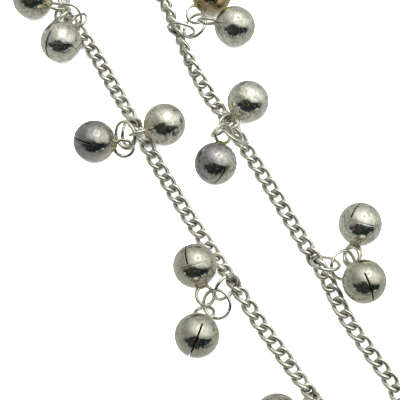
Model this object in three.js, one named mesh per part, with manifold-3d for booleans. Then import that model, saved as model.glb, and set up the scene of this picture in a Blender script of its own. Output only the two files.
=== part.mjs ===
// Curb chain bracelet with pairs of round jingle bells, laid down as a long narrow loop.
// Millimetres, +Z up, +X along the two strands, the surface it lies on at Z = 0.
import * as THREE from 'three';
import { ParametricGeometry } from 'three/addons/geometries/ParametricGeometry.js';
import { mergeVertices } from 'three/addons/utils/BufferGeometryUtils.js';
import Module from 'manifold-3d';

const wasm = await Module();
wasm.setup();

// Chain
const pitch = 2.0;             // from one link to the next
const chainWire = 0.5;
const linkReach = 1.28;        // half the link's length, at the middle of its wire
const linkHalfWidth = 0.85;    // half the link's width, at the middle of its wire
const linkTwist = 0.36;        // how far the wire rises and falls, which makes the curb lie flat
const linkCount = 86;
const firstLink = -5.4;        // station of the first link along the route
const linkSteps = 10;
const wireSides = 5;
const chainLift = 0.03;        // rest of the chain above the surface

// Jump rings a and b, and the soldered loop of a bell
const ringRadius = 1.94;       // at the middle of the wire, 4.3 mm outside
const loopRadius = 1.325;      // at the middle of the wire, 3.07 mm outside
const ringWire = 0.42;
const ringSteps = 10;

// Bell
const bellRadius = 3.0;
const cavityRadius = 2.65;
const slitWidth = 0.25;
const slitDepth = 2.7;         // from the bottom of the bell towards its middle
const loopSunk = 0.25;         // how far the loop's wire is soldered into the ball
const bellLift = 0.02;         // rest of the ball above the surface
const loopCentre = bellRadius + loopRadius + ringWire / 2 - loopSunk;

// Clasp and its two jump rings
const claspRadius = 2.45;
const claspWire = 1.0;
const eyeRadius = 1.0;
const eyeWire = 0.6;
const eyeSunk = 0.35;
const claspRingRadius = 1.5;
const claspRingWire = 0.5;
const claspTilt = -20;         // turned about the route, inner edge up
const claspRingTilt = 40;

// The route of the loop: rows of x, y and how far the chain's outer edge is turned up, in degrees
const route = [
  [-38.5, -4.9, 45], [-36.0, -5.8, 40], [-30.0, -5.3, 0], [-22.0, -5.5, 0],
  [-14.5, -5.8, 35], [-7.0, -6.1, 0], [1.0, -6.2, 0], [7.5, -6.0, 0],
  [13.2, -5.8, 40], [20.0, -5.6, 0], [26.0, -5.2, 0], [31.5, -4.9, 35],
  [36.5, -4.4, 0], [41.0, -1.8, 20], [42.0, 1.0, 40], [41.0, 3.8, 20],
  [36.5, 5.2, 0], [31.0, 5.1, 0], [25.0, 4.9, 0], [18.3, 5.5, 40],
  [12.0, 5.7, 0], [5.0, 6.0, 0], [-2.0, 6.1, -10], [-8.2, 6.0, -35],
  [-14.0, 5.8, 15], [-19.5, 6.1, 60], [-25.0, 7.0, 80], [-31.0, 7.9, 60],
  [-36.2, 8.1, 45], [-40.6, 6.2, 45], [-42.3, 1.9, 45], [-41.4, -2.2, 45],
];
const spanSteps = 40;
const up = new THREE.Vector3(0, 0, 1);
const rad = THREE.MathUtils.degToRad;

// A smooth closed curve through the rows (uniform Catmull-Rom), with its length so far
function smooth(p0, p1, p2, p3, t) {
  return 0.5 * (2 * p1 + (p2 - p0) * t + (2 * p0 - 5 * p1 + 4 * p2 - p3) * t * t
    + (3 * p1 - p0 - 3 * p2 + p3) * t * t * t);
}

function layRoute(rows) {
  const samples = [];
  const row = (i) => rows[(i + rows.length) % rows.length];
  for (let i = 0; i < rows.length * spanSteps; i += 1) {
    const k = Math.floor(i / spanSteps);
    const t = (i % spanSteps) / spanSteps;
    const [x, y, lift] = [0, 1, 2].map((c) => smooth(row(k - 1)[c], row(k)[c], row(k + 1)[c], row(k + 2)[c], t));
    const reach = linkHalfWidth * Math.abs(Math.sin(rad(lift))) + linkTwist * Math.cos(rad(lift));
    samples.push({ point: new THREE.Vector3(x, y, chainWire / 2 + reach + chainLift), lift });
  }
  samples.push(samples[0]);
  let station = 0;
  return samples.map((sample, i) => {
    station += i ? sample.point.distanceTo(samples[i - 1].point) : 0;
    return { ...sample, station };
  });
}

const laid = layRoute(route);
const routeLength = laid[laid.length - 1].station;

function onRoute(station) {
  const s = THREE.MathUtils.euclideanModulo(station, routeLength);
  let i = 1;
  while (laid[i].station < s) i += 1;
  const t = (s - laid[i - 1].station) / (laid[i].station - laid[i - 1].station);
  return {
    point: laid[i - 1].point.clone().lerp(laid[i].point, t),
    lift: THREE.MathUtils.lerp(laid[i - 1].lift, laid[i].lift, t),
  };
}

// The chain's own directions at a station: along it, across its flat side and square to that side
function chainFrame(station, lift = onRoute(station).lift) {
  const along = onRoute(station + 0.5).point.sub(onRoute(station - 0.5).point).normalize();
  const level = new THREE.Vector3().crossVectors(up, along).normalize();
  const across = level.clone().applyAxisAngle(along, -rad(lift));
  const square = new THREE.Vector3().crossVectors(along, across);
  return { centre: onRoute(station).point, along, across, square };
}

// Solids from closed geometries and back
function solid(geometry) {
  const bare = geometry.clone();
  bare.deleteAttribute('normal');
  bare.deleteAttribute('uv');
  const merged = mergeVertices(bare, 1e-4);
  const corners = merged.index.array;
  const triVerts = [];
  for (let i = 0; i < corners.length; i += 3) {
    const [a, b, c] = corners.slice(i, i + 3);
    if (a !== b && b !== c && a !== c) triVerts.push(a, b, c);
  }
  return new wasm.Manifold(new wasm.Mesh({
    numProp: 3,
    vertProperties: new Float32Array(merged.attributes.position.array),
    triVerts: new Uint32Array(triVerts),
  }));
}

function toGeometry(manifold) {
  const { vertProperties, triVerts } = manifold.getMesh();
  const geometry = new THREE.BufferGeometry();
  geometry.setAttribute('position', new THREE.BufferAttribute(vertProperties, 3));
  geometry.setIndex(new THREE.BufferAttribute(triVerts, 1));
  const flat = geometry.toNonIndexed();
  flat.computeVertexNormals();
  return flat;
}

// One curb link: an oval whose wire rises and falls twice in one turn
function linkGeometry() {
  return new ParametricGeometry((u, v, target) => {
    const turn = 2 * Math.PI * (u + 0.5 / linkSteps);
    const around = 2 * Math.PI * v + (Math.PI / wireSides) * (1 - Math.cos(turn)) / 2;
    const wireAlong = new THREE.Vector3(
      -linkReach * Math.sin(turn),
      linkHalfWidth * Math.cos(turn),
      -2 * linkTwist * Math.cos(2 * turn),
    ).normalize();
    const side = new THREE.Vector3().crossVectors(wireAlong, up).normalize();
    const top = new THREE.Vector3().crossVectors(side, wireAlong);
    target.set(linkReach * Math.cos(turn), linkHalfWidth * Math.sin(turn), -linkTwist * Math.sin(2 * turn));
    target.addScaledVector(side, (chainWire / 2) * Math.cos(around));
    target.addScaledVector(top, (chainWire / 2) * Math.sin(around));
  }, linkSteps, wireSides);
}

function placed(geometry, x, y, z, centre) {
  return geometry.clone().applyMatrix4(new THREE.Matrix4().makeBasis(x, y, z).setPosition(centre));
}

// The whole chain: every link hooks through the next, and they are one body where they touch
function chainGeometry() {
  const link = linkGeometry();
  let chain = null;
  for (let i = 0; i < linkCount; i += 1) {
    const { centre, along, across, square } = chainFrame(firstLink + pitch * i);
    const next = solid(placed(link, along, across, square, centre));
    chain = chain ? chain.add(next) : next;
  }
  return toGeometry(chain);
}

// A round wire ring about its own Z axis, turned half a step so that its sides meet its neighbours
function ringGeometry(radius, wire, steps = ringSteps, sides = wireSides) {
  return new THREE.TorusGeometry(radius, wire / 2, sides, steps).rotateZ(Math.PI / steps);
}

// A bell about its own Z axis: loop below in the XZ plane, saw slit through the top
function bellGeometry(slitTurn) {
  const ball = new THREE.SphereGeometry(bellRadius, 10, 5).rotateY(Math.PI / 10);
  const cavity = new THREE.SphereGeometry(cavityRadius, 6, 3).rotateX(Math.PI / 2);
  const slit = new THREE.BoxGeometry(slitWidth, 2.2 * bellRadius, slitDepth);
  slit.translate(0, 0, bellRadius + 0.1 - slitDepth / 2);
  const loop = new THREE.TorusGeometry(loopRadius, ringWire / 2, wireSides, ringSteps);
  loop.rotateX(Math.PI / 2).translate(0, 0, -loopCentre);
  const turned = (geometry) => solid(geometry.rotateZ(rad(slitTurn)));
  return toGeometry(turned(ball).add(solid(loop)).subtract(turned(cavity)).subtract(turned(slit)));
}

// The clasp about its own Z axis: a plain ring with its eye on the -X side
function claspGeometry() {
  const eyeCentre = claspRadius + claspWire / 2 + eyeRadius + eyeWire / 2 - eyeSunk;
  const ring = ringGeometry(claspRadius, claspWire, 14, 6);
  const eye = ringGeometry(eyeRadius, eyeWire).translate(-eyeCentre, 0, 0);
  return toGeometry(solid(ring).add(solid(eye)));
}

// Each pair of bells: the link that ring a goes through, and how each piece hangs on the one before.
// side: 1 where ring a goes round the chain's outer edge, -1 round its inner edge.
// turn, lean: ring a, turned along the chain and leaned over.
// on: place of the next piece round the ring that carries it, in degrees from that ring's own start.
// heading, rise: direction from the carrying wire to the piece, in degrees from +X and above level.
// roll: turn about that direction. play: from the carrying wire to the piece's middle.
// slit: turn of the saw slit from the plane square to the bell's loop.
const pairs = [
  { link: 4, side: 1, turn: 30, lean: 10,
    ringB: { on: 85, heading: -30, rise: -45, roll: -15, play: 0.9 },
    bells: [{ on: 140, heading: 215, roll: -15, play: 0.4, slit: 20 },
      { on: -90, heading: -65, roll: 0, play: 0.6, slit: -10 }] },
  { link: 15, side: 1, turn: 25, lean: -40,
    ringB: { on: 40, heading: -10, rise: -20, roll: -35, play: 1.0 },
    bells: [{ on: 25, heading: 230, roll: -30, play: 0.3, slit: 20 },
      { on: 280, heading: 90, roll: -5, play: 0.8, slit: 60 }] },
  { link: 29, side: 1, turn: -5, lean: -25,
    ringB: { on: -45, heading: -20, rise: -25, roll: 10, play: 1.0 },
    bells: [{ on: 230, heading: 170, roll: -35, play: 0.1, slit: -45 },
      { on: -70, heading: -45, roll: -35, play: 0.6, slit: -25 }] },
  { link: 38, side: 1, turn: 35, lean: 10,
    ringB: { on: 30, heading: 20, rise: -50, roll: -15, play: 1.0 },
    bells: [{ on: 205, heading: -115, roll: 30, play: 0.4, slit: -45 },
      { on: -45, heading: -55, roll: 0, play: 0.4, slit: 10 }] },
  { link: 79, side: 1, turn: -10, lean: 30,
    ringB: { on: -65, heading: 140, rise: 0, roll: -25, play: 0.8 },
    bells: [{ on: 20, heading: 115, roll: -15, play: 0.4, slit: 80 },
      { on: -75, heading: 60, roll: 25, play: 0.3, slit: 20 }] },
  { link: 71, side: -1, turn: -30, lean: 20,
    ringB: { on: 45, heading: 30, rise: -20, roll: 30, play: 1.3 },
    bells: [{ on: 140, heading: 110, roll: 5, play: 0.5, slit: -15 },
      { on: 215, heading: -45, roll: 5, play: 0.6, slit: 5 }] },
  { link: 59, side: 1, turn: -60, lean: -30,
    ringB: { on: -20, heading: 90, rise: -15, roll: -5, play: 0.7 },
    bells: [{ on: 20, heading: 135, roll: 15, play: 0.2, slit: 10 },
      { on: 40, heading: -10, roll: 5, play: 0.7, slit: -40 }] },
  { link: 45, side: 1, turn: -25, lean: 25,
    ringB: { on: 40, heading: -85, rise: 0, roll: -20, play: 1.1 },
    bells: [{ on: 305, heading: -30, roll: 10, play: 0.4, slit: 40 },
      { on: 100, heading: 50, roll: -5, play: 0.4, slit: 10 }] },
];

// A ring in space: its middle, the direction from its start, and the second direction in its plane
function ringPoint(ring, radius, degrees) {
  const a = rad(degrees);
  const out = ring.centre.clone();
  out.addScaledVector(ring.start, radius * Math.cos(a));
  return out.addScaledVector(ring.second, radius * Math.sin(a));
}

function ringAlong(ring, degrees) {
  const a = rad(degrees);
  return ring.start.clone().multiplyScalar(-Math.sin(a)).addScaledVector(ring.second, Math.cos(a));
}

function heading(degrees, rise) {
  const level = Math.cos(rad(rise));
  return new THREE.Vector3(Math.cos(rad(degrees)) * level, Math.sin(rad(degrees)) * level, Math.sin(rad(rise)));
}

// The second direction in the plane of a ring that hangs on a wire, square to that wire and then rolled
function hungSecond(wireAlong, start, roll) {
  const normal = wireAlong.clone().addScaledVector(start, -wireAlong.dot(start)).normalize();
  normal.applyAxisAngle(start, rad(roll));
  return new THREE.Vector3().crossVectors(normal, start);
}

function ringA({ link, side, turn, lean }) {
  const { centre, along, across, square } = chainFrame(firstLink + pitch * link);
  const start = across.clone().multiplyScalar(-side * Math.cos(rad(turn))).addScaledVector(along, Math.sin(rad(turn)));
  const tip = new THREE.Vector3().crossVectors(square, start);
  const second = square.clone().multiplyScalar(Math.cos(rad(lean))).addScaledVector(tip, Math.sin(rad(lean)));
  return { centre: centre.clone().addScaledVector(start, ringRadius), start, second };
}

function ringB(carrier, { on, heading: towards, rise, roll, play }) {
  const start = heading(towards, rise);
  const second = hungSecond(ringAlong(carrier, on), start, roll);
  return { centre: ringPoint(carrier, ringRadius, on).addScaledVector(start, play), start, second };
}

// A bell lies with its ball on the surface, so its rise follows from the height of the wire it hangs on
function bell(carrier, { on, heading: towards, roll, play }) {
  const hook = ringPoint(carrier, ringRadius, on);
  const reach = play + loopCentre;
  const rise = THREE.MathUtils.radToDeg(Math.asin((bellRadius + bellLift - hook.z) / reach));
  const start = heading(towards, rise);
  const second = hungSecond(ringAlong(carrier, on), start, roll);
  return { centre: hook.addScaledVector(start, reach), start, second };
}

// Materials, one for each finish
const silver = (color, roughness) => new THREE.MeshStandardMaterial({ color, roughness, metalness: 1 });
const finishes = {
  chain: silver(0xc9c6bb, 0.3),
  ring: silver(0xd2d0c6, 0.25),
  bell: silver(0xb9b8ae, 0.18),
  clasp: silver(0xcfcdc4, 0.3),
};

function piece(name, geometry, material, frame = null) {
  const mesh = new THREE.Mesh(geometry, material);
  mesh.name = name;
  if (frame) {
    const { x, y, z, centre } = frame;
    mesh.applyMatrix4(new THREE.Matrix4().makeBasis(x, y, z).setPosition(centre));
  }
  return mesh;
}

const cross = (a, b) => new THREE.Vector3().crossVectors(a, b);
const ringFrame = ({ centre, start, second }) => ({ x: start, y: second, z: cross(start, second), centre });
const bellFrame = ({ centre, start, second }) => ({ x: second, y: cross(start, second), z: start, centre });

// The clasp and its two rings, spread evenly over the gap between the chain's two ends
function claspPieces() {
  const lastLink = firstLink + pitch * (linkCount - 1);
  const gapLength = routeLength + firstLink - lastLink;
  const eyeToRing = claspRadius + claspWire / 2 + eyeRadius + eyeWire / 2 - eyeSunk;
  const linkToRing = linkReach - chainWire / 2 - claspRingWire / 2 + claspRingRadius;
  const ringToEye = claspRingRadius - claspRingWire / 2 - eyeWire / 2 + eyeRadius;
  const claspToRing = claspRadius - claspWire / 2 - claspRingWire / 2 + claspRingRadius;
  const play = (2 * linkToRing + ringToEye + eyeToRing + claspToRing - gapLength) / 4;
  const firstRing = lastLink + linkToRing - play;
  const clasp = firstRing + ringToEye - play + eyeToRing;
  const secondRing = clasp + claspToRing - play;
  const lying = (station, back, radius, tilt, wire) => {
    const centre = onRoute(station + radius).point;
    const along = centre.clone().sub(onRoute(station - back).point).setZ(0).normalize();
    const across = cross(up, along).applyAxisAngle(along, rad(tilt));
    centre.addScaledVector(along, -radius).setZ(radius * Math.abs(Math.sin(rad(tilt))) + wire / 2 + 0.05);
    return { x: along, y: across, z: cross(along, across), centre };
  };
  const small = ringGeometry(claspRingRadius, claspRingWire);
  const ringAt = (station) => lying(station, claspRingRadius, claspRingRadius, claspRingTilt, claspRingWire);
  return [
    piece('clasp_ring_1', small, finishes.ring, ringAt(firstRing)),
    piece('clasp', claspGeometry(), finishes.clasp, lying(clasp, eyeToRing, claspRadius, claspTilt, claspWire)),
    piece('clasp_ring_2', small, finishes.ring, ringAt(secondRing)),
  ];
}

const bracelet = new THREE.Group();
bracelet.add(piece('chain', chainGeometry(), finishes.chain));
bracelet.add(...claspPieces());
const ring = ringGeometry(ringRadius, ringWire);
pairs.forEach((pair, i) => {
  const a = ringA(pair);
  const b = ringB(a, pair.ringB);
  bracelet.add(piece(`ring_a_${i + 1}`, ring, finishes.ring, ringFrame(a)));
  bracelet.add(piece(`ring_b_${i + 1}`, ring, finishes.ring, ringFrame(b)));
  pair.bells.forEach((row, k) => {
    const name = `bell_${i + 1}${'ab'[k]}`;
    bracelet.add(piece(name, bellGeometry(row.slit), finishes.bell, bellFrame(bell(b, row))));
  });
});

// The origin is below the middle of the laid loop
bracelet.position.set(-2.97, 0, 0);

export default bracelet;
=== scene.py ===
import bpy
import numpy as np
from mathutils import Matrix, Vector


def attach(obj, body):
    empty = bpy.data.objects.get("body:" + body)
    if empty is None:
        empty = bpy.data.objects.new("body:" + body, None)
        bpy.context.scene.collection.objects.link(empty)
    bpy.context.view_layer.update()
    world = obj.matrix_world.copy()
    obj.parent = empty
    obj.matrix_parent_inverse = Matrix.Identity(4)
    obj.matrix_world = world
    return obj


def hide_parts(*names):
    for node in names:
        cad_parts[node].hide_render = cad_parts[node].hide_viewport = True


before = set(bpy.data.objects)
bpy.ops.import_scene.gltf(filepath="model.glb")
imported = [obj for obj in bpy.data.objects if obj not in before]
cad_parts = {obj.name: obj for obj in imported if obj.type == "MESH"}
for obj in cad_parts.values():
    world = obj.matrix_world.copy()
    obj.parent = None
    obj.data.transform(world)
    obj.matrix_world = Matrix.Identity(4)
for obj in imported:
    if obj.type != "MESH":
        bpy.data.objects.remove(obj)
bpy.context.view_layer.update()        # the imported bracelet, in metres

bl_info = {
    "name": "Curb chain bell bracelet",
    "version": (1, 0, 0),
    "blender": (4, 5, 0),
    "location": "3D View > Sidebar > Bracelet",
    "description": "Curb chain bracelet with pairs of round jingle bells on jump rings",
    "category": "Object",
}

MM = 0.001

# The route of the loop, in mm: x, y and how far the chain's outer edge is turned up, in degrees
ROUTE = (
    (-38.5, -4.9, 45), (-36.0, -5.8, 40), (-30.0, -5.3, 0), (-22.0, -5.5, 0),
    (-14.5, -5.8, 35), (-7.0, -6.1, 0), (1.0, -6.2, 0), (7.5, -6.0, 0),
    (13.2, -5.8, 40), (20.0, -5.6, 0), (26.0, -5.2, 0), (31.5, -4.9, 35),
    (36.5, -4.4, 0), (41.0, -1.8, 20), (42.0, 1.0, 40), (41.0, 3.8, 20),
    (36.5, 5.2, 0), (31.0, 5.1, 0), (25.0, 4.9, 0), (18.3, 5.5, 40),
    (12.0, 5.7, 0), (5.0, 6.0, 0), (-2.0, 6.1, -10), (-8.2, 6.0, -35),
    (-14.0, 5.8, 15), (-19.5, 6.1, 60), (-25.0, 7.0, 80), (-31.0, 7.9, 60),
    (-36.2, 8.1, 45), (-40.6, 6.2, 45), (-42.3, 1.9, 45), (-41.4, -2.2, 45),
)
SPAN_STEPS = 40
LOOP_MIDDLE = np.array((2.97, 0.0, 0.0))     # mm, of the laid loop in the route's own numbers

# Each pair of bells. Ring a: its link, the chain's edge that it goes round (1 outer, -1 inner), its turn
# along the chain and its lean. Ring b: place round ring a, heading, rise, roll and play.
# A bell: place round ring b, heading, roll, play, turn of its slit. Degrees and mm.
PAIRS = (
    ((4, 1, 30, 10), (85, -30, -45, -15, 0.9), ((140, 215, -15, 0.4, 20), (-90, -65, 0, 0.6, -10))),
    ((15, 1, 25, -40), (40, -10, -20, -35, 1.0), ((25, 230, -30, 0.3, 20), (280, 90, -5, 0.8, 60))),
    ((29, 1, -5, -25), (-45, -20, -25, 10, 1.0), ((230, 170, -35, 0.1, -45), (-70, -45, -35, 0.6, -25))),
    ((38, 1, 35, 10), (30, 20, -50, -15, 1.0), ((205, -115, 30, 0.4, -45), (-45, -55, 0, 0.4, 10))),
    ((79, 1, -10, 30), (-65, 140, 0, -25, 0.8), ((20, 115, -15, 0.4, 80), (-75, 60, 25, 0.3, 20))),
    ((71, -1, -30, 20), (45, 30, -20, 30, 1.3), ((140, 110, 5, 0.5, -15), (215, -45, 5, 0.6, 5))),
    ((59, 1, -60, -30), (-20, 90, -15, -5, 0.7), ((20, 135, 15, 0.2, 10), (40, -10, 5, 0.7, -40))),
    ((45, 1, -25, 25), (40, -85, 0, -20, 1.1), ((305, -30, 10, 0.4, 40), (100, 50, -5, 0.4, 10))),
)

# Wear of each bell: violet bloom and its heading in degrees, olive film, brown tarnish, open seam
WEAR = {
    "1a": (0.10, 200, 0.3, 0.10, 0.3), "1b": (0.10, 150, 0.0, 0.00, 0.2),
    "2a": (1.00, 225, 0.6, 0.00, 0.3), "2b": (0.05, 240, 0.1, 0.05, 0.2),
    "3a": (0.10, 90, 0.75, 0.05, 1.0), "3b": (0.15, 240, 0.8, 0.05, 0.2),
    "4a": (0.30, 200, 0.4, 0.10, 0.3), "4b": (0.20, 300, 0.3, 0.00, 0.2),
    "5a": (0.20, 100, 0.4, 1.00, 0.3), "5b": (0.05, 240, 0.1, 0.00, 0.2),
    "6a": (0.05, 200, 0.1, 0.00, 0.3), "6b": (0.95, 215, 0.4, 0.00, 0.3),
    "7a": (0.05, 240, 0.1, 0.00, 1.0), "7b": (0.10, 200, 0.8, 0.05, 0.2),
    "8a": (0.20, 20, 0.4, 0.10, 0.3), "8b": (0.10, 60, 0.3, 0.10, 0.2),
}

# Where the camera looks and stands over the laid loop, in mm, and its lens
AIM = np.array((0.0, -3.4, 0.0)) - LOOP_MIDDLE
CAMERA_OFFSET = np.array((59.2, -34.2, 161.1))
PICTURE_RIGHT = np.array((0.5, 0.8660254, 0.0))
LENS = 111.5
SENSOR = 36.0
NEAREST = 0.005              # m, the least distance at which the camera sees

# Floor and lamp, in metres
FLOOR_REACH = 1.5
FLOOR_ROUGHNESS = 0.9
LAMP_SIZE = 0.9
LAMP_PLACE = (-0.08, 0.05, 0.4)


def length(name, description, millimetres):
    """A property for a size, stored in metres."""
    return bpy.props.FloatProperty(
        name=name, description=description, default=millimetres * MM, min=0.0, unit="LENGTH", precision=5)


def colour(name, description, red, green, blue):
    """A property for a linear colour."""
    return bpy.props.FloatVectorProperty(
        name=name, description=description, default=(red, green, blue), min=0.0, max=1.0, subtype="COLOR")


class ChainSizes(bpy.types.PropertyGroup):
    """Sizes of the curb chain"""
    pitch: length("Pitch", "From one link to the next", 2.0)
    wire: length("Wire", "Thickness of the link's wire", 0.5)
    plump: length("Plump", "Added to the wire where it is round and whole", 0.16)
    reach: length("Reach", "Half the link's length at the middle of its wire", 1.28)
    half_width: length("Half width", "Half the link's width at the middle of its wire", 0.85)
    twist: length("Twist", "How far the link's wire rises and falls", 0.36)
    lift: length("Lift", "Rest of the chain above the surface", 0.03)
    first: bpy.props.FloatProperty(
        name="First link", description="Station of the first link along the route",
        default=-5.4 * MM, unit="LENGTH")
    links: bpy.props.IntProperty(name="Links", description="Number of links", default=86, min=3)


class RingSizes(bpy.types.PropertyGroup):
    """Sizes of the jump rings that carry the bells, and of the bells' loops"""
    radius: length("Ring radius", "At the middle of the wire", 1.94)
    loop_radius: length("Loop radius", "Of a bell's loop, at the middle of the wire", 1.325)
    wire: length("Wire", "Thickness of the wire", 0.42)
    plump: length("Plump", "Added to the wire where it is round and whole", 0.07)
    cut: length("Cut", "Gap where a jump ring's ends meet", 0.03)


class BellSizes(bpy.types.PropertyGroup):
    """Sizes of a bell"""
    radius: length("Radius", "Of the ball", 3.0)
    wall: length("Wall", "Thickness of the sheet", 0.35)
    slit: length("Slit", "Width of the saw slit", 0.24)
    slit_end: length("Slit end", "Height above the ball's middle where the slit ends", 0.4)
    loop_sunk: length("Loop sunk", "How far the loop's wire is soldered into the ball", 0.25)
    lift: length("Lift", "Rest of the ball above the surface", 0.02)
    solder_length: length("Solder length", "Half the mound of solder, along the loop", 1.15)
    solder_width: length("Solder width", "Half the mound of solder, across the loop", 0.62)
    solder_height: length("Solder height", "Of the mound of solder over the ball", 0.34)


class ClaspSizes(bpy.types.PropertyGroup):
    """Sizes of the clasp and its two jump rings"""
    radius: length("Radius", "Of the clasp, at the middle of its wire", 2.45)
    wire: length("Wire", "Thickness of the clasp", 1.0)
    eye_radius: length("Eye radius", "At the middle of the wire", 1.0)
    eye_wire: length("Eye wire", "Thickness of the eye", 0.6)
    eye_sunk: length("Eye sunk", "How far the eye is soldered into the clasp", 0.35)
    ring_radius: length("Ring radius", "Of the two jump rings", 1.5)
    ring_wire: length("Ring wire", "Thickness of the two jump rings", 0.5)
    lift: length("Lift", "Rest of the clasp and its rings above the surface", 0.05)
    tilt: bpy.props.FloatProperty(
        name="Tilt", description="Inner edge up", default=np.radians(-20), subtype="ANGLE")
    ring_tilt: bpy.props.FloatProperty(
        name="Ring tilt", description="Inner edge up", default=np.radians(40), subtype="ANGLE")


class Finish(bpy.types.PropertyGroup):
    """Colours of the silver, its tarnish and dirt, and the dark of the painted shade"""
    clean: colour("Clean silver", "Polished silver", 0.86, 0.86, 0.81)
    warm: colour("Warm silver", "Silver with a thin warm film", 0.61, 0.605, 0.52)
    violet: colour("Violet bloom", "Bluish violet tarnish", 0.30, 0.285, 0.33)
    brown: colour("Brown tarnish", "Brown tarnish and flux stain", 0.45, 0.36, 0.21)
    # Dark colour for dirt at ring cuts and pits, tarnish with painted shade where wires touch, and painted
    # shade inside the bells
    crevice: colour("Crevice", "Dirt where the wires touch", 0.085, 0.065, 0.05)


class Studio(bpy.types.PropertyGroup):
    """Floor and light"""
    floor: colour("Floor", "Colour of the pale floor", 0.92, 0.92, 0.92)
    lamp: bpy.props.FloatProperty(
        name="Lamp", description="Power of the soft lamp over the floor", default=20.0, unit="POWER")


class Bracelet(bpy.types.PropertyGroup):
    """Everything that can be changed"""
    chain: bpy.props.PointerProperty(type=ChainSizes, name="Chain", description="Sizes of the chain")
    ring: bpy.props.PointerProperty(type=RingSizes, name="Rings", description="Sizes of the jump rings")
    bell: bpy.props.PointerProperty(type=BellSizes, name="Bells", description="Sizes of the bells")
    clasp: bpy.props.PointerProperty(type=ClaspSizes, name="Clasp", description="Sizes of the clasp")
    finish: bpy.props.PointerProperty(type=Finish, name="Finish", description="Colours of the silver")
    studio: bpy.props.PointerProperty(type=Studio, name="Studio", description="Floor and light")


def unit(v):
    """Each vector divided by its length."""
    return v / np.linalg.norm(v, axis=-1, keepdims=True)


def turned(v, axis, angle):
    """The vector v turned about a unit axis by an angle in radians."""
    kept = axis * np.dot(axis, v)
    return v * np.cos(angle) + np.cross(axis, v) * np.sin(angle) + kept * (1 - np.cos(angle))


def lay_route(chain):
    """The closed route as dense samples: points in metres, lift in degrees, and length so far.
    Between two rows it is the uniform Catmull-Rom cubic of the four rows around. Height is half the wire
    plus the reach of the leaning link: half width times |sin lift| plus twist times cos lift."""
    rows = np.array(ROUTE, float)
    t = (np.arange(SPAN_STEPS) / SPAN_STEPS)[None, :, None]
    p0, p1, p2, p3 = (np.roll(rows, shift, axis=0)[:, None, :] for shift in (1, 0, -1, -2))
    cubic = 0.5 * (2 * p1 + (p2 - p0) * t + (2 * p0 - 5 * p1 + 4 * p2 - p3) * t ** 2
                   + (3 * p1 - p0 - 3 * p2 + p3) * t ** 3)
    x, y, lift = cubic.reshape(-1, 3).T
    lean = np.radians(lift)
    link_reach = chain.half_width * np.abs(np.sin(lean)) + chain.twist * np.cos(lean)
    points = np.stack([x - LOOP_MIDDLE[0], y - LOOP_MIDDLE[1], np.zeros_like(x)], axis=1) * MM
    points[:, 2] = chain.wire / 2 + link_reach + chain.lift
    points = np.vstack([points, points[:1]])
    lift = np.append(lift, lift[0])
    station = np.append(0.0, np.cumsum(np.linalg.norm(np.diff(points, axis=0), axis=1)))
    return points, lift, station


HALF_CHORD = 0.5 * MM        # the chain's direction is taken over this much of it each way


class Route:
    """The chain's place, direction and lift at any station along the loop."""

    def __init__(self, chain):
        self.points, self.lift, self.station = lay_route(chain)
        self.length = self.station[-1]

    def at(self, stations):
        """Points on the route."""
        s = np.mod(np.asarray(stations, float), self.length)
        return np.stack([np.interp(s, self.station, self.points[:, c]) for c in range(3)], axis=-1)

    def frames(self, stations):
        """Centre, along, across and square at each station: along is the chord over 1 mm, across is level
        and square to it, then turned about along by minus the lift."""
        stations = np.atleast_1d(np.asarray(stations, float))
        along = unit(self.at(stations + HALF_CHORD) - self.at(stations - HALF_CHORD))
        level = unit(np.cross((0.0, 0.0, 1.0), along))
        lean = -np.radians(np.interp(np.mod(stations, self.length), self.station, self.lift))[:, None]
        across = level * np.cos(lean) + np.cross(along, level) * np.sin(lean)
        return self.at(stations), along, across, np.cross(along, across)


def wire_surface(centre, out, side, radius, sides):
    """Round wire: around each point of the centre line goes the circle out cos v + side sin v."""
    v = np.linspace(0, 2 * np.pi, sides, endpoint=False)
    ring = out[..., None, :] * np.cos(v)[:, None] + side[..., None, :] * np.sin(v)[:, None]
    return centre[..., None, :] + radius * ring


def grid_faces(rows, columns, close_rows=True):
    """Quads between neighbouring points of a grid whose rows are rings, and whose last row may join the
    first."""
    i = np.arange(rows if close_rows else rows - 1)[:, None]
    j = np.arange(columns)[None, :]
    k, m = (i + 1) % rows, (j + 1) % columns
    corners = (i * columns + j, k * columns + j, k * columns + m, i * columns + m)
    return np.stack([np.broadcast_to(c, (i.size, j.size)) for c in corners], axis=-1).reshape(-1, 4)


def add_piece(name, points, faces, material, slot, node, **layers):
    """A smooth mesh in the bracelet's frame that stands for a CAD node. Layers are numbers at its points."""
    mesh = bpy.data.meshes.new(name)
    mesh.from_pydata(points.reshape(-1, 3).tolist(), [], faces)
    mesh.shade_smooth()
    for layer, values in layers.items():
        attribute = mesh.attributes.new(layer, "FLOAT", "POINT")
        attribute.data.foreach_set("value", np.asarray(values, np.float32).ravel())
    mesh.materials.append(material)
    piece = bpy.data.objects.new(name, mesh)
    bpy.context.scene.collection.objects.link(piece)
    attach(piece, "root")
    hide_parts(node)


# Links: points along and around the wire, how much a soft chain's links yaw and roll at random in
# degrees, the seed of that, how far the dark tarnish and painted shade reach from where the wires touch,
# and the points of a ring from which its distance is taken
LINK_STEPS = 44
LINK_SIDES = 14
LINK_YAW = 0.9
LINK_ROLL = 1.6
LINK_SEED = 11
TARNISH_AND_SHADE_REACH = 0.16 * MM
RING_POINTS = 60


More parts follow.
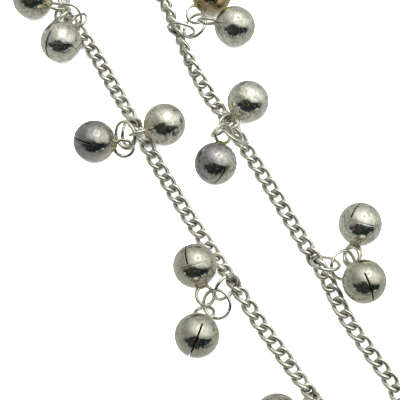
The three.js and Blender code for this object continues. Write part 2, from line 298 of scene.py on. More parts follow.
def link_centre_lines(chain, route):
    """Centre lines of all the links: along a cos t, across b sin t, square -h sin 2t, with the direction of
    the wire as its derivative. Each link leans and yaws a little at random, as a soft chain does. The plump
    wire needs longer links, which reach a third of its added thickness further, narrower and raised."""
    centre, along, across, square = route.frames(chain.first + chain.pitch * np.arange(chain.links))
    centre = centre + (0, 0, chain.plump / 2)
    reach, half_width = chain.reach + chain.plump / 3, chain.half_width - chain.plump / 4
    chance = np.random.default_rng(LINK_SEED)
    yaw, roll = np.radians(chance.normal(0, (LINK_YAW, LINK_ROLL), (chain.links, 2))).T[..., None]
    across, square = across + roll * square, square - roll * across
    along, across = along + yaw * across, across - yaw * along
    t = np.linspace(0, 2 * np.pi, LINK_STEPS, endpoint=False)
    place = np.stack([reach * np.cos(t), half_width * np.sin(t), -chain.twist * np.sin(2 * t)], axis=1)
    slope = np.stack([-reach * np.sin(t), half_width * np.cos(t), -2 * chain.twist * np.cos(2 * t)], axis=1)
    axes = np.stack([unit(along), unit(across), unit(square)], axis=1)
    return centre[:, None, :] + place @ axes, unit(slope @ axes), axes


def link_surfaces(chain, route, rings):
    """Wire round each link's centre line, and the darkening on it, tarnish with painted shade where the
    wires touch, which falls off as exp(-gap / reach). The gap is that to the next link's wire or, if less,
    half of what lies beyond a wire's thickness from the middle of the wire of a ring that hangs in the link
    or in the next one."""
    line, direction, axes = link_centre_lines(chain, route)
    side = unit(np.cross(direction, axes[:, 2][:, None, :]))
    radius = (chain.wire + chain.plump) / 2
    skin = wire_surface(line, side, np.cross(side, direction), radius, LINK_SIDES)
    gap = np.full(skin.shape[:3], np.inf)
    for step in (-1, 1):
        for i in range(chain.links):
            other = i + step
            if 0 <= other < chain.links:
                away = np.linalg.norm(skin[i][:, :, None, :] - line[other], axis=-1).min(axis=-1)
                gap[i] = np.minimum(gap[i], away - radius)
    # Rings that hang in a link darken it too: painted shade with tarnish where ring and link touch
    for link, line_points in rings:
        for i in (link - 1, link, link + 1):
            away = np.linalg.norm(skin[i][:, :, None, :] - line_points, axis=-1).min(axis=-1)
            gap[i] = np.minimum(gap[i], 0.5 * (away - chain.wire))
    return skin, np.exp(-np.clip(gap, 0, None) / TARNISH_AND_SHADE_REACH)


def ring_line(radius, steps, start=0.0, end=2 * np.pi, closed=True):
    """Centre line of a ring about Z, radius (cos a, sin a, 0), with its outward and sideways directions."""
    a = np.linspace(start, end, steps, endpoint=not closed)
    out = np.stack([np.cos(a), np.sin(a), np.zeros_like(a)], axis=1)
    return radius * out, out, np.broadcast_to((0.0, 0.0, 1.0), out.shape)


# Jump rings: points along and around the wire, the share of the wire's thickness at its cut end, and how
# far dirt reaches from the cut, in thicknesses of the wire
RING_STEPS = 72
RING_SIDES = 18
CUT_END = 0.86
CUT_DIRT = 0.2


def cut_ring(radius, wire, cut, joint):
    """A jump ring whose wire ends meet at the angle joint: wire round an arc that stops short by half the
    cut at each end, where a smaller circle rounds the edge and a flat face closes it. The layer is 1 at
    the joint and falls to 0 within a wire's width."""
    steps, sides = RING_STEPS, RING_SIDES
    half = cut / 2 / radius
    line, out, side = ring_line(radius, steps, joint + half, joint + 2 * np.pi - half, closed=False)
    skin = wire_surface(line, out, side, wire / 2, sides)
    shrink = np.ones(steps)
    shrink[[0, -1]] = CUT_END
    skin = line[:, None, :] + (skin - line[:, None, :]) * shrink[:, None, None]
    faces = grid_faces(steps, sides, close_rows=False).tolist()
    faces += [list(range(sides))[::-1], list(range((steps - 1) * sides, steps * sides))]
    from_joint = radius * np.minimum(np.arange(steps), np.arange(steps)[::-1]) * 2 * np.pi / steps
    seam = np.repeat(np.exp(-from_joint / (CUT_DIRT * wire)), sides)
    return skin.reshape(-1, 3), faces, seam


def carry(points, x, y, z, centre):
    """Points of a piece's own frame, brought to the bracelet's frame."""
    return points @ np.stack([x, y, z]) + centre


class Hanging:
    """A ring in space: its middle, the direction from where it hangs, and the second one in its plane."""

    def __init__(self, centre, start, second):
        self.centre, self.start, self.second = centre, start, second
        self.normal = np.cross(start, second)

    def point(self, radius, angle):
        return self.centre + radius * (self.start * np.cos(angle) + self.second * np.sin(angle))

    def wire_along(self, angle):
        return self.second * np.cos(angle) - self.start * np.sin(angle)


def heading(degrees, rise):
    """Direction from its heading in degrees and its rise in radians."""
    a = np.radians(degrees)
    return np.array((np.cos(a) * np.cos(rise), np.sin(a) * np.cos(rise), np.sin(rise)))


def hang(wire_along, start, roll, centre):
    """A ring that leaves a wire in the direction start, square to the wire and then rolled about start."""
    normal = unit(wire_along - start * np.dot(wire_along, start))
    return Hanging(centre, start, np.cross(turned(normal, start, np.radians(roll)), start))


def hang_ring_a(row, chain, ring, route):
    """Ring a goes round one edge of its link: its start is across the chain, turned along it, and its plane
    stands square to the chain's flat side and leans."""
    link, side, turn, lean = row
    turn, lean = np.radians((turn, lean))
    centre, along, across, square = (v[0] for v in route.frames(chain.first + chain.pitch * link))
    start = -side * across * np.cos(turn) + along * np.sin(turn)
    second = square * np.cos(lean) + np.cross(square, start) * np.sin(lean)
    return Hanging(centre + ring.radius * start, start, second)


def hang_ring_b(row, carrier, ring):
    """Ring b hangs on ring a's wire."""
    on, towards, rise, roll, play = row
    on = np.radians(on)
    start = heading(towards, np.radians(rise))
    return hang(carrier.wire_along(on), start, roll, carrier.point(ring.radius, on) + play * MM * start)


def bell_reach(ring, bell):
    """From the middle of the bell's loop to the middle of its ball."""
    return bell.radius + ring.loop_radius + ring.wire / 2 - bell.loop_sunk


def hang_bell(row, carrier, ring, bell):
    """A bell hangs on ring b and its ball lies on the surface, so its rise has the sine of the ball's
    height over the hook divided by the distance between them."""
    on, towards, roll, play = row[:4]
    on = np.radians(on)
    hook = carrier.point(ring.radius, on)
    reach = play * MM + bell_reach(ring, bell)
    start = heading(towards, np.arcsin((bell.radius + bell.lift - hook[2]) / reach))
    return hang(carrier.wire_along(on), start, roll, hook + reach * start)


def free_joint(angles):
    """The middle of the widest stretch of a ring that carries nothing."""
    taken = np.sort(np.mod(angles, 2 * np.pi))
    gaps = np.diff(np.append(taken, taken[0] + 2 * np.pi))
    widest = int(np.argmax(gaps))
    return taken[widest] + gaps[widest] / 2


# Ball: rows of its outer and inner wall, as shares of the way from the slit's edge to the side pole
OUTER_ROWS = (0, 0.008, 0.03, 0.07, 0.13, 0.2, 0.28, 0.37, 0.46, 0.55, 0.64, 0.73, 0.82, 0.91)
INNER_ROWS = (0, 0.1, 0.3, 0.55, 0.8)
# Columns of the ball: how many along half the slit and from the seam to the far pole, those close to the
# slit's end and to the seam, in degrees from it, and the stretch that these take
SLIT_COLUMNS = 17
REST_COLUMNS = 19
END_COLUMNS = (-3.0, -1.8, -0.9, -0.3, 0.0)
SEAM_COLUMNS = (-1.4, -0.7, -0.25, 0.0, 0.25, 0.7, 1.4)
FINE_STRETCH = np.radians(5.0)
# The stretch over which a slit's end is rounded, the worn edge of the slit, the seam's width and depth, and
# how near two points count as one
SLIT_ROUNDING = np.radians(3.0)
EDGE_WORN = 0.02 * MM
SEAM_WIDTH = np.radians(0.5)
SEAM_DEPTH = 0.035 * MM
SAME_POINT = 1e-8


def ball_columns(slit_end):
    """Angles round the ball in the slit's plane, from the slit's middle: close together at the two ends of
    the slit and at the seam between the half shells."""
    slit = np.linspace(0, slit_end - FINE_STRETCH, SLIT_COLUMNS)
    rounded = slit_end + np.radians(END_COLUMNS)
    seam = np.pi / 2 + np.radians(SEAM_COLUMNS)
    rest = np.linspace(np.pi / 2 + FINE_STRETCH, np.pi, REST_COLUMNS)
    half = np.concatenate([slit, rounded, seam, rest])
    return np.concatenate([-half[-2:0:-1], half])


def ball_surface(bell, seam_open):
    """The hollow ball of two half shells, slit open. With a round the slit's plane from the pole and b
    away from that plane, a point is r (sin b, cos b sin a, cos b cos a). Both walls run from the slit's
    edge or, beyond the slit, from the plane itself, to the side poles. A slit's end is rounded as half an
    ellipse. The radius dips at the seam, a = 90."""
    slit_end = np.arccos(bell.slit_end / bell.radius)
    a = ball_columns(slit_end)
    past_rounding = np.clip(1 - (slit_end - np.abs(a)) / SLIT_ROUNDING, 0, 1)
    openness = np.sqrt(np.clip(1 - past_rounding ** 2, 0, 1))
    edge = np.arcsin(bell.slit / 2 / bell.radius) * openness
    seam = np.exp(-((np.abs(a) - np.pi / 2) / SEAM_WIDTH) ** 2)
    rows = {
        "outer": (bell.radius, np.array(OUTER_ROWS)),
        "inner": (bell.radius - bell.wall, np.array(INNER_ROWS)),
    }
    points, quads, fans, rims, start = [], [], [], {}, 0
    for wall, (radius, share_of_b) in rows.items():
        for hand in (1, -1):
            b = edge + (np.pi / 2 - edge) * share_of_b[:, None]
            r = np.full(b.shape, radius)
            if wall == "outer":
                r[0] -= EDGE_WORN * openness
                r -= SEAM_DEPTH * seam_open * seam
            from_axis = r * np.cos(b)
            grid = np.stack([hand * r * np.sin(b), from_axis * np.sin(a), from_axis * np.cos(a)], axis=-1)
            pole = np.array([[hand * radius, 0.0, 0.0]])
            flip = (hand == 1) == (wall == "outer")
            faces = start + grid_faces(*b.shape, close_rows=False)
            top = start + (b.shape[0] - 1) * a.size + np.arange(a.size)
            fan = np.stack([top, np.roll(top, -1), np.full(a.size, start + b.size)], axis=1)
            quads.append(faces if flip else faces[:, ::-1])
            fans.append(fan[:, ::-1] if flip else fan)
            points += [grid.reshape(-1, 3), pole]
            rims[wall, hand] = start + np.arange(a.size)
            start += b.size + 1
    open_columns = np.flatnonzero((openness[:-1] > 0) | (openness[1:] > 0))
    for hand in (1, -1):
        outer, inner = rims["outer", hand], rims["inner", hand]
        i, k = open_columns, open_columns + 1
        wall = np.stack([outer[i], outer[k], inner[k], inner[i]], axis=1)
        quads.append(wall[:, ::-1] if hand == 1 else wall)
    points = np.concatenate(points)
    whole, place = np.unique(np.round(points / SAME_POINT).astype(np.int64), axis=0, return_inverse=True)
    place = place.ravel()
    return whole * SAME_POINT, place[np.concatenate(quads)], place[np.concatenate(fans)]


# Mound of solder: points from its middle out and around it, how near its middle they begin, how deep its
# edge and its underside are sunk into the ball, and how steeply it falls
SOLDER_STEPS = 10
SOLDER_SIDES = 32
SOLDER_START = 0.1
SOLDER_EDGE = 0.015 * MM
SOLDER_BASE = 0.12 * MM
SOLDER_FALL = 1.6


def solder_patch(bell):
    """Solder where the loop meets the ball: a mound over an ellipse, whose height above the ball falls as
    (1 - rho squared) to a power, closed by a sunk underside. On the loop's side of the Z axis."""
    steps, turns = SOLDER_STEPS, SOLDER_SIDES
    rho = np.linspace(SOLDER_START, 1, steps)[:, None]
    phi = np.linspace(0, 2 * np.pi, turns, endpoint=False)
    x, y = bell.solder_length * rho * np.cos(phi), bell.solder_width * rho * np.sin(phi)
    height = bell.solder_height * (1 - rho ** 2) ** SOLDER_FALL + 0 * phi
    skins = []
    for r in (bell.radius - SOLDER_EDGE + height, np.full_like(height, bell.radius - SOLDER_BASE)):
        skins.append(np.stack([x, y, -np.sqrt(r ** 2 - x ** 2 - y ** 2)], axis=-1))
    skin = np.concatenate([skins[0], skins[1][::-1]])
    faces = grid_faces(2 * steps, turns, close_rows=False)
    caps = [list(range(turns)), list(range((2 * steps - 1) * turns, 2 * steps * turns))[::-1]]
    return skin.reshape(-1, 3), faces.tolist() + caps


# Points along and around the wire of a bell's loop
LOOP_STEPS = 56
LOOP_SIDES = 16


def bell_mesh(ring, bell, slit_turn, seam_open):
    """Ball, loop and solder of a bell about its own Z axis: the slit through the top and turned about Z,
    the loop below in the XZ plane."""
    ball, quads, fans = ball_surface(bell, seam_open)
    c, s = np.cos(slit_turn), np.sin(slit_turn)
    ball = ball @ np.array(((c, s, 0), (-s, c, 0), (0, 0, 1)))
    line, out, side = ring_line(ring.loop_radius, LOOP_STEPS)
    loop = wire_surface(line, out, side, (ring.wire + ring.plump) / 2, LOOP_SIDES).reshape(-1, 3)
    loop = np.stack([loop[:, 0], -loop[:, 2], loop[:, 1] - bell_reach(ring, bell)], axis=1)
    solder, solder_faces = solder_patch(bell)
    faces = quads.tolist() + fans.tolist()
    faces += (grid_faces(LOOP_STEPS, LOOP_SIDES) + len(ball)).tolist()
    faces += [[k + len(ball) + len(loop) for k in face] for face in solder_faces]
    return np.concatenate([ball, loop, solder]), faces


# Over which the ball's tarnish fades along the loop, the reach of the flux stain round the solder, the rise
# of the side that the violet bloom faces, the bloom halfway and how much more it is on that side, and the
# share of the wall's thickness past which the metal is inside
LOOP_FADE = 0.4 * MM
STAIN_REACH = 1.5 * MM
BLOOM_RISE = np.radians(25)
BLOOM_HALFWAY = 0.6
BLOOM_MORE = 0.75
INNER_SHARE = 0.8


def bell_layers(points, placed, bell, wear):
    """Numbers for the bell's finish. On the ball: bloom, 1 on the side that the violet tarnish faces and
    falling smoothly to the other side, and even film and brown, all fading over the loop. Neck: 1 at the
    solder, falling away over the ball. Inside: 1 on the inner wall. Placed: the points from the ball's
    middle as the bell lies."""
    strength, towards, film, brown = wear[:4]
    away = np.linalg.norm(points, axis=1)
    on_ball = np.clip(1 - (away - bell.radius) / LOOP_FADE, 0, 1)
    from_neck = np.linalg.norm(points + np.array((0, 0, bell.radius)), axis=1)
    facing = placed @ heading(towards, BLOOM_RISE) / bell.radius
    bloom = np.clip(BLOOM_HALFWAY + BLOOM_MORE * facing, 0, 1)
    return {
        "neck": np.exp(-from_neck ** 2 / STAIN_REACH ** 2),
        "bloom": strength * bloom * on_ball,
        "film": film * on_ball,
        "brown": brown * on_ball,
        "inside": away < bell.radius - INNER_SHARE * bell.wall,
    }


class Nodes:
    """Short ways to build a node tree."""

    def __init__(self, tree):
        self.tree = tree
        tree.nodes.clear()

    def add(self, kind, inputs=(), **settings):
        node = self.tree.nodes.new(kind)
        for key, value in settings.items():
            setattr(node, key, value)
        for key, value in dict(inputs).items():
            if isinstance(value, bpy.types.NodeSocket):
                self.tree.links.new(value, node.inputs[key])
            else:
                node.inputs[key].default_value = value
        return node

    def math(self, operation, a, b=0.0, c=0.0):
        return self.add("ShaderNodeMath", {0: a, 1: b, 2: c}, operation=operation).outputs[0]

    def vector(self, operation, a, b=(0.0, 0.0, 0.0)):
        return self.add("ShaderNodeVectorMath", {0: a, 1: tuple(b)}, operation=operation)

    def between(self, value, low, high, to_low=0.0, to_high=1.0):
        inputs = {"Value": value, "From Min": low, "From Max": high, "To Min": to_low, "To Max": to_high}
        return self.add("ShaderNodeMapRange", inputs, interpolation_type="SMOOTHSTEP").outputs[0]

    def blend(self, amount, a, b):
        inputs = {"Factor": amount, 6: a, 7: b}
        return self.add("ShaderNodeMix", inputs, data_type="RGBA").outputs[2]

    def noise(self, where, scale, detail, roughness, distortion=0.0):
        inputs = {"Vector": where, "Scale": scale, "Detail": detail, "Roughness": roughness,
                  "Distortion": distortion}
        return self.add("ShaderNodeTexNoise", inputs).outputs["Fac"]

    def layer(self, name):
        return self.add("ShaderNodeAttribute", attribute_name=name).outputs["Fac"]


def rgba(colour_property, gain=1.0):
    return (*(gain * c for c in colour_property), 1.0)


# Cells of the finish's noises in a metre, and the way that the fine scratches run
PATCHES = 300
MOTTLE = 1300
SPECKS = 3200
SCRATCHES = 5200
SCRATCH_TURN = (0.3, 0.5, 0.9)
SCRATCH_STRETCH = (1, 1, 0.08)
# From where to where in its noise each mark comes up, and how strong it is at its weakest
BLOOM_CLOUDS = (0.3, 0.62, 0.6, 1.0)
BROWN_PATCHES = (0.35, 0.6, 0.6, 1.0)
STAIN_CLOUDS = (0.35, 0.6, 0.3, 1.0)
DIRT_AND_SHADE_PATCHES = (0.3, 0.7, 0.6, 1.0)
FILM_PATCHES = (0.4, 0.7)
DULL_CLOUDS = (0.42, 0.68)
ROUGH_CLOUDS = (0.35, 0.7)
PITS = (0.66, 0.74)
SCRATCH_LINES = (0.6, 0.68)
# Roughness that the marks add, and that of the metal inside
BLOOM_ROUGH = 0.05
STAIN_ROUGH = 0.25
DIRT_AND_SHADE_ROUGH = 0.35
INSIDE_ROUGH = 0.6
# Strength of the flux stain, the least and most of the roughness in shares of a look's own, and how much of
# the tarnish colours the dull clouds, the pits and the painted shade inside the bell take
STAIN_STRENGTH = 0.9
LEAST_ROUGH = 0.7
MOST_ROUGH = 1.7
CLOUD_SHADE = 0.72
PIT_SHADE = 2.0
INSIDE_SHADE = 0.3


def bell_tarnish_and_inner_shade(nodes, colour_now, rough, mottle, patches, finish):
    """A bell's own tarnish over its silver: violet bloom in clouds, brown in patches, flux stain at the
    neck, and dull metal inside, painted near black as shade."""
    bloom = nodes.math("MULTIPLY", nodes.layer("bloom"), nodes.between(mottle, *BLOOM_CLOUDS))
    colour_now = nodes.blend(bloom, colour_now, rgba(finish.violet))
    rough = nodes.math("ADD", rough, nodes.math("MULTIPLY", bloom, BLOOM_ROUGH))
    brown = nodes.math("MULTIPLY", nodes.layer("brown"), nodes.between(patches, *BROWN_PATCHES))
    colour_now = nodes.blend(brown, colour_now, rgba(finish.brown))
    neck = nodes.math("MULTIPLY", nodes.layer("neck"), nodes.between(mottle, *STAIN_CLOUDS))
    stain = nodes.math("MULTIPLY", neck, STAIN_STRENGTH)
    colour_now = nodes.blend(stain, colour_now, rgba(finish.brown))
    rough = nodes.math("ADD", rough, nodes.math("MULTIPLY", neck, STAIN_ROUGH))
    inside = nodes.layer("inside")
    # The inner wall is painted near black: painted shade inside the closed ball
    colour_now = nodes.blend(inside, colour_now, rgba(finish.crevice, INSIDE_SHADE))
    rough = nodes.math("MAXIMUM", rough, nodes.math("MULTIPLY", inside, INSIDE_ROUGH))
    return colour_now, rough


def crevice_dirt(nodes, colour_now, rough, patches, finish):
    """Darkening, thinner in some patches: tarnish with painted shade where wires touch, and dirt where a
    ring is cut.
    """
    # The layer is painted shade with tarnish on the chain, and dirt at the cut of a jump ring
    dirt_shade_mask = nodes.math("MULTIPLY", nodes.layer("crevice"), nodes.between(patches, *DIRT_AND_SHADE_PATCHES))
    colour_now = nodes.blend(dirt_shade_mask, colour_now, rgba(finish.crevice))
    return colour_now, nodes.math("ADD", rough, nodes.math("MULTIPLY", dirt_shade_mask, DIRT_AND_SHADE_ROUGH))


def worn_relief(nodes, here, look):
    """Small dents and fine scratches, as a bumped normal."""
    dents = nodes.noise(here, look["grain"], 4, 0.6, 0.4)
    dented = nodes.add("ShaderNodeBump", {"Strength": 1.0, "Distance": look["dents"] * MM, "Height": dents})
    stretched = nodes.add(
        "ShaderNodeMapping", {"Vector": here, "Rotation": SCRATCH_TURN, "Scale": SCRATCH_STRETCH})
    lines = nodes.between(nodes.noise(stretched.outputs[0], SCRATCHES, 2, 0.5), *SCRATCH_LINES)
    scratched = nodes.add("ShaderNodeBump", {
        "Strength": 1.0, "Distance": look["scratches"] * MM, "Height": lines, "Normal": dented.outputs[0]})
    return scratched.outputs[0]


def silver(name, look, finish):
    """Worn silver. Look holds the roughness, the strength of the warm film and of the mottle, how deep the
    dents and the scratches are in mm, the cells of the dents in a metre, and the names of the layers that
    darken it."""
    material = bpy.data.materials.new(name)
    material.use_nodes = True
    nodes = Nodes(material.node_tree)
    here = nodes.add("ShaderNodeTexCoord").outputs["Object"]
    patches = nodes.noise(here, PATCHES, 4, 0.6)
    mottle = nodes.noise(here, MOTTLE, 5, 0.7, 0.6)
    specks = nodes.noise(here, SPECKS, 3, 0.6)
    film = nodes.between(patches, *FILM_PATCHES, 0, look["film"])
    if "film" in look["layers"]:
        film = nodes.math("MAXIMUM", film, nodes.layer("film"))
    colour_now = nodes.blend(film, rgba(finish.clean), rgba(finish.warm))
    cloudy = nodes.between(mottle, *DULL_CLOUDS, 0, look["mottle"])
    colour_now = nodes.blend(cloudy, colour_now, rgba(finish.warm, CLOUD_SHADE))
    least, most = look["rough"] * LEAST_ROUGH, look["rough"] * MOST_ROUGH
    rough = nodes.between(mottle, *ROUGH_CLOUDS, least, most)
    if "bloom" in look["layers"]:
        colour_now, rough = bell_tarnish_and_inner_shade(nodes, colour_now, rough, mottle, patches, finish)
    if "crevice" in look["layers"]:
        colour_now, rough = crevice_dirt(nodes, colour_now, rough, patches, finish)
    pits = nodes.math("MULTIPLY", nodes.between(specks, *PITS), look["mottle"])
    colour_now = nodes.blend(pits, colour_now, rgba(finish.crevice, PIT_SHADE))
    relief = worn_relief(nodes, here, look)
    inputs = {"Base Color": colour_now, "Metallic": 1.0, "Roughness": rough, "Normal": relief}
    shader = nodes.add("ShaderNodeBsdfPrincipled", inputs)
    output = nodes.add("ShaderNodeOutputMaterial")
    nodes.tree.links.new(shader.outputs[0], output.inputs["Surface"])
    return material


# How the silver of each slot is worn
LOOKS = {
    "chain_silver": {"rough": 0.09, "film": 0.1, "mottle": 0.25, "scratches": 0.001, "dents": 0.012,
                     "grain": 2000, "layers": ("crevice",)},
    "ring_silver": {"rough": 0.09, "film": 0.5, "mottle": 0.5, "scratches": 0.001, "dents": 0.006,
                    "grain": 2000, "layers": ("crevice",)},
    "bell_silver": {"rough": 0.035, "film": 0.4, "mottle": 0.9, "scratches": 0.009, "dents": 0.022,
                    "grain": 1800, "layers": ("bloom", "film")},
    "clasp_silver": {"rough": 0.1, "film": 0.3, "mottle": 0.4, "scratches": 0.002, "dents": 0.01,
                     "grain": 1500, "layers": ()},
}


def silver_for(slot, finish):
    """The material of a slot, made once."""
    name = "worn_" + slot
    return bpy.data.materials.get(name) or silver(name, LOOKS[slot], finish)


class BRACELET_OT_chain(bpy.types.Operator):
    """Lay the curb chain, link by link"""
    bl_idname = "bracelet.chain"
    bl_label = "Lay the chain"

    def execute(self, context):
        settings = context.scene.bracelet
        chain, ring, route = settings.chain, settings.ring, Route(settings.chain)
        turns = np.linspace(0, 2 * np.pi, RING_POINTS)[:, None]
        rings = [
            (row[0], hang_ring_a(row, chain, ring, route).point(ring.radius, turns)) for row, _, _ in PAIRS]
        skin, crevice = link_surfaces(chain, route, rings)
        link = grid_faces(LINK_STEPS, LINK_SIDES)
        every = np.arange(chain.links)[:, None, None] * LINK_STEPS * LINK_SIDES
        faces = (link + every).reshape(-1, 4).tolist()
        material = silver_for("chain_silver", settings.finish)
        add_piece("curb_links", skin, faces, material, "chain_silver", "chain", crevice=crevice)
        return {"FINISHED"}


class BRACELET_OT_bells(bpy.types.Operator):
    """Hang each pair of bells on its two jump rings"""
    bl_idname = "bracelet.bells"
    bl_label = "Hang the bells"

    def execute(self, context):
        settings = context.scene.bracelet
        chain, ring, bell = settings.chain, settings.ring, settings.bell
        route = Route(chain)
        wire_finish = silver_for("ring_silver", settings.finish)
        ball_finish = silver_for("bell_silver", settings.finish)
        for number, (row_a, row_b, rows) in enumerate(PAIRS, 1):
            ring_a = hang_ring_a(row_a, chain, ring, route)
            ring_b = hang_ring_b(row_b, ring_a, ring)
            taken_a = (np.pi, np.radians(row_b[0]))
            taken_b = (np.pi, *np.radians([row[0] for row in rows]))
            for letter, hanging, taken in (("a", ring_a, taken_a), ("b", ring_b, taken_b)):
                points, faces, seam = cut_ring(
                    ring.radius, ring.wire + ring.plump, ring.cut, free_joint(taken))
                placed = carry(points, hanging.start, hanging.second, hanging.normal, hanging.centre)
                node = f"ring_{letter}_{number}"
                add_piece("jump_" + node, placed, faces, wire_finish, "ring_silver", node, crevice=seam)
            for letter, row in zip("ab", rows):
                wear = WEAR[f"{number}{letter}"]
                hanging = hang_bell(row, ring_b, ring, bell)
                points, faces = bell_mesh(ring, bell, np.radians(row[4]), wear[4])
                placed = carry(points, hanging.second, hanging.normal, hanging.start, hanging.centre)
                layers = bell_layers(points, placed - hanging.centre, bell, wear)
                node = f"bell_{number}{letter}"
                add_piece("jingle_" + node, placed, faces, ball_finish, "bell_silver", node, **layers)
        return {"FINISHED"}


# Points along and around the wires of the clasp and its eye
CLASP_STEPS = 96
CLASP_SIDES = 28
EYE_STEPS = 56
EYE_SIDES = 20


def lying(route, station, back, radius, tilt, wire, lift):
    """Directions and middle of a flat round piece on the route: along is the level chord between its two
    ends, across is square to it and tilted, and the middle stands above the surface by the radius times
    the sine of the tilt, half the wire and the lift."""
    end = route.at(station + radius)
    along = unit((end - route.at(station - back)) * (1, 1, 0))
    across = turned(np.cross((0, 0, 1), along), along, tilt)
    centre = end - radius * along
    centre[2] = radius * abs(np.sin(tilt)) + wire / 2 + lift
    return along, across, np.cross(along, across), centre


class BRACELET_OT_clasp(bpy.types.Operator):
    """Close the loop with the ring clasp and its two jump rings"""
    bl_idname = "bracelet.clasp"
    bl_label = "Close the clasp"

    def execute(self, context):
        settings = context.scene.bracelet
        chain, clasp = settings.chain, settings.clasp
        route = Route(chain)
        last = chain.first + chain.pitch * (chain.links - 1)
        gap = route.length + chain.first - last
        eye_to_ring = clasp.radius + clasp.wire / 2 + clasp.eye_radius + clasp.eye_wire / 2 - clasp.eye_sunk
        link_to_ring = chain.reach - chain.wire / 2 - clasp.ring_wire / 2 + clasp.ring_radius
        ring_to_eye = clasp.ring_radius - clasp.ring_wire / 2 - clasp.eye_wire / 2 + clasp.eye_radius
        clasp_to_ring = clasp.radius - clasp.wire / 2 - clasp.ring_wire / 2 + clasp.ring_radius
        play = (2 * link_to_ring + ring_to_eye + eye_to_ring + clasp_to_ring - gap) / 4
        first_ring = last + link_to_ring - play
        middle = first_ring + ring_to_eye - play + eye_to_ring
        second_ring = middle + clasp_to_ring - play

        wire_finish = silver_for("ring_silver", settings.finish)
        for number, station in enumerate((first_ring, second_ring), 1):
            radius, wire = clasp.ring_radius, clasp.ring_wire
            points, faces, seam = cut_ring(radius, wire, settings.ring.cut, np.pi / 2)
            place = lying(route, station, radius, radius, clasp.ring_tilt, wire, clasp.lift)
            points = carry(points, *place)
            node = f"clasp_ring_{number}"
            add_piece("jump_" + node, points, faces, wire_finish, "ring_silver", node, crevice=seam)
        line, out, side = ring_line(clasp.radius, CLASP_STEPS)
        ring = wire_surface(line, out, side, clasp.wire / 2, CLASP_SIDES).reshape(-1, 3)
        line, out, side = ring_line(clasp.eye_radius, EYE_STEPS)
        eye = wire_surface(line, out, side, clasp.eye_wire / 2, EYE_SIDES).reshape(-1, 3)
        eye = eye - (eye_to_ring, 0, 0)
        faces = grid_faces(CLASP_STEPS, CLASP_SIDES).tolist()
        faces += (grid_faces(EYE_STEPS, EYE_SIDES) + len(ring)).tolist()
        place = lying(route, middle, eye_to_ring, clasp.radius, clasp.tilt, clasp.wire, clasp.lift)
        points = carry(np.concatenate([ring, eye]), *place)
        finish = silver_for("clasp_silver", settings.finish)
        add_piece("ring_clasp", points, faces, finish, "clasp_silver", "clasp")
        return {"FINISHED"}


def mirror_axes():
    """Three fixed directions: to the picture's right, up in it, and out of it to the camera's stand."""
    towards = CAMERA_OFFSET / np.linalg.norm(CAMERA_OFFSET)
    return PICTURE_RIGHT, np.cross(towards, PICTURE_RIGHT), towards


# What the silver mirrors, in radii of a polished ball seen from above. Of each spot: its middle to the
# right and up, half its width and height, its turn in degrees, the softness of its edge, and its colour
ROOM_MIDDLE = (0.35, 0.355, 0.315)
ROOM_RIM = (0.54, 0.545, 0.495)
RIM_REACH = (0.5, 0.95)
CEILING_LIGHTS = (
    ((0.18, 0.3, 0.52, 0.32, -22, 0.5), (1.15, 1.15, 1.04)),
    ((0.14, 0.36, 0.15, 0.15, 0, 0.1), (2.8, 2.75, 2.5)),
    ((0.14, 0.36, 0.09, 0.09, 0, 0.3), (1.25, 1.08, 1.02)),
)
DARK_SIDE = ((0.05, -0.1, 0.6, 0.46, 0, 0.08), (0.018, 0.03, 0.03))
DARK_SIDE_TOP = (-0.03, -0.15)
WARM_SHADE = ((-0.13, -0.17, 0.28, 0.2, 10, 0.2), (0.05, 0.045, 0.038))
SPARK_PLACES = ((-0.44, -0.33), (0.16, -0.51), (0.34, -0.45), (0.44, -0.38))
SPARK_SIZE = 0.035
SPARK_COLOUR = (0.9, 0.9, 0.85)


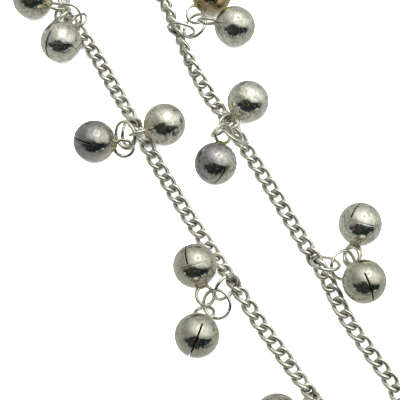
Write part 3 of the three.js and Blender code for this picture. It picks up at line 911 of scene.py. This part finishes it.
def room_light(world):
    """A grey room, a broad bright ceiling light with a small lamp in it, and the dark side of the room
    below, which ends at the table. To the right and up come from the direction halfway between a ray and
    one fixed stand over the bracelet. The open background is white."""
    world.use_nodes = True
    nodes = Nodes(world.node_tree)
    right, up, towards = mirror_axes()
    ray = nodes.add("ShaderNodeTexCoord").outputs["Generated"]
    half = nodes.vector("ADD", ray, towards).outputs[0]
    half = nodes.vector("NORMALIZE", half).outputs[0]
    x, y = (nodes.vector("DOT_PRODUCT", half, axis).outputs["Value"] for axis in (right, up))

    def spot(cx, cy, wide, high, turn, soft):
        """1 inside an ellipse and 0 outside, with a soft edge."""
        c, s = np.cos(np.radians(turn)), np.sin(np.radians(turn))
        dx, dy = nodes.math("SUBTRACT", x, cx), nodes.math("SUBTRACT", y, cy)
        p = nodes.math("DIVIDE", nodes.math("MULTIPLY_ADD", dx, c, nodes.math("MULTIPLY", dy, s)), wide)
        q = nodes.math("DIVIDE", nodes.math("MULTIPLY_ADD", dy, c, nodes.math("MULTIPLY", dx, -s)), high)
        away = nodes.math("SQRT", nodes.math("MULTIPLY_ADD", p, p, nodes.math("MULTIPLY", q, q)))
        return nodes.between(away, 1 - soft, 1 + soft, 1.0, 0.0)

    rim = nodes.math("SQRT", nodes.math("MULTIPLY_ADD", x, x, nodes.math("MULTIPLY", y, y)))
    sky = nodes.blend(nodes.between(rim, *RIM_REACH), rgba(ROOM_MIDDLE), rgba(ROOM_RIM))
    for place, colour_there in CEILING_LIGHTS:
        sky = nodes.blend(spot(*place), sky, rgba(colour_there))
    place, colour_there = DARK_SIDE
    below = nodes.math("MULTIPLY", spot(*place), nodes.between(y, *DARK_SIDE_TOP))
    sky = nodes.blend(below, sky, rgba(colour_there))
    place, colour_there = WARM_SHADE
    sky = nodes.blend(spot(*place), sky, rgba(colour_there))
    for cx, cy in SPARK_PLACES:
        sky = nodes.blend(spot(cx, cy, SPARK_SIZE, SPARK_SIZE, 0, 0.5), sky, rgba(SPARK_COLOUR))
    seen = nodes.add("ShaderNodeLightPath").outputs["Is Camera Ray"]
    sky = nodes.blend(seen, sky, (1, 1, 1, 1))
    light = nodes.add("ShaderNodeBackground", {"Color": sky})
    output = nodes.add("ShaderNodeOutputWorld")
    nodes.tree.links.new(light.outputs[0], output.inputs["Surface"])


class BRACELET_OT_stage(bpy.types.Operator):
    """Pale floor, soft light and the camera over the laid bracelet"""
    bl_idname = "bracelet.stage"
    bl_label = "Set the stage"

    def execute(self, context):
        studio = context.scene.bracelet.studio
        mesh = bpy.data.meshes.new("floor")
        corners = [(x * FLOOR_REACH, y * FLOOR_REACH, 0) for x, y in ((-1, -1), (1, -1), (1, 1), (-1, 1))]
        mesh.from_pydata(corners, [], [(0, 1, 2, 3)])
        floor = bpy.data.objects.new("floor", mesh)
        paper = bpy.data.materials.new("pale_paper")
        paper.use_nodes = True
        shader = paper.node_tree.nodes["Principled BSDF"]
        shader.inputs["Base Color"].default_value = rgba(studio.floor)
        shader.inputs["Roughness"].default_value = FLOOR_ROUGHNESS
        shader.inputs["Specular IOR Level"].default_value = 0.0
        mesh.materials.append(paper)
        floor.visible_glossy = False
        context.scene.collection.objects.link(floor)
        lamp = bpy.data.lights.new("soft_lamp", "AREA")
        lamp.shape = "DISK"
        lamp.size = LAMP_SIZE
        lamp.energy = studio.lamp
        holder = bpy.data.objects.new("soft_lamp", lamp)
        holder.location = LAMP_PLACE
        holder.rotation_mode = "QUATERNION"
        holder.rotation_quaternion = Vector(holder.location).to_track_quat("Z", "Y")
        holder.visible_glossy = False
        context.scene.collection.objects.link(holder)
        context.scene.world = bpy.data.worlds.new("room")
        room_light(context.scene.world)
        right, up, towards = mirror_axes()
        camera = bpy.data.objects.new("camera", bpy.data.cameras.new("camera"))
        camera.data.lens = LENS
        camera.data.sensor_width = SENSOR
        camera.data.clip_start = NEAREST
        axes = Matrix((right, up, towards)).transposed().to_4x4()
        camera.matrix_world = Matrix.Translation(Vector((AIM + CAMERA_OFFSET) * MM)) @ axes
        context.scene.collection.objects.link(camera)
        context.scene.camera = camera
        context.scene.view_settings.view_transform = "Standard"
        return {"FINISHED"}


class BRACELET_PT_sizes(bpy.types.Panel):
    """The sizes, the finish and the operators"""
    bl_label = "Curb chain bell bracelet"
    bl_idname = "BRACELET_PT_sizes"
    bl_space_type = "VIEW_3D"
    bl_region_type = "UI"
    bl_category = "Bracelet"

    def draw(self, context):
        settings = context.scene.bracelet
        for part in ("chain", "ring", "bell", "clasp", "finish", "studio"):
            box = self.layout.box()
            box.label(text=part.capitalize())
            group = getattr(settings, part)
            for name in group.__annotations__:
                box.prop(group, name)
        for operator in OPERATORS:
            self.layout.operator(operator.bl_idname)


GROUPS = (ChainSizes, RingSizes, BellSizes, ClaspSizes, Finish, Studio, Bracelet)
OPERATORS = (BRACELET_OT_chain, BRACELET_OT_bells, BRACELET_OT_clasp, BRACELET_OT_stage)
CLASSES = (*GROUPS, *OPERATORS, BRACELET_PT_sizes)


def register():
    for each in CLASSES:
        bpy.utils.register_class(each)
    bpy.types.Scene.bracelet = bpy.props.PointerProperty(type=Bracelet)


def unregister():
    del bpy.types.Scene.bracelet
    for each in reversed(CLASSES):
        bpy.utils.unregister_class(each)


def main():
    register()
    bpy.ops.bracelet.chain()
    bpy.ops.bracelet.bells()
    bpy.ops.bracelet.clasp()
    bpy.ops.bracelet.stage()


if __name__ == "__main__":
    main()
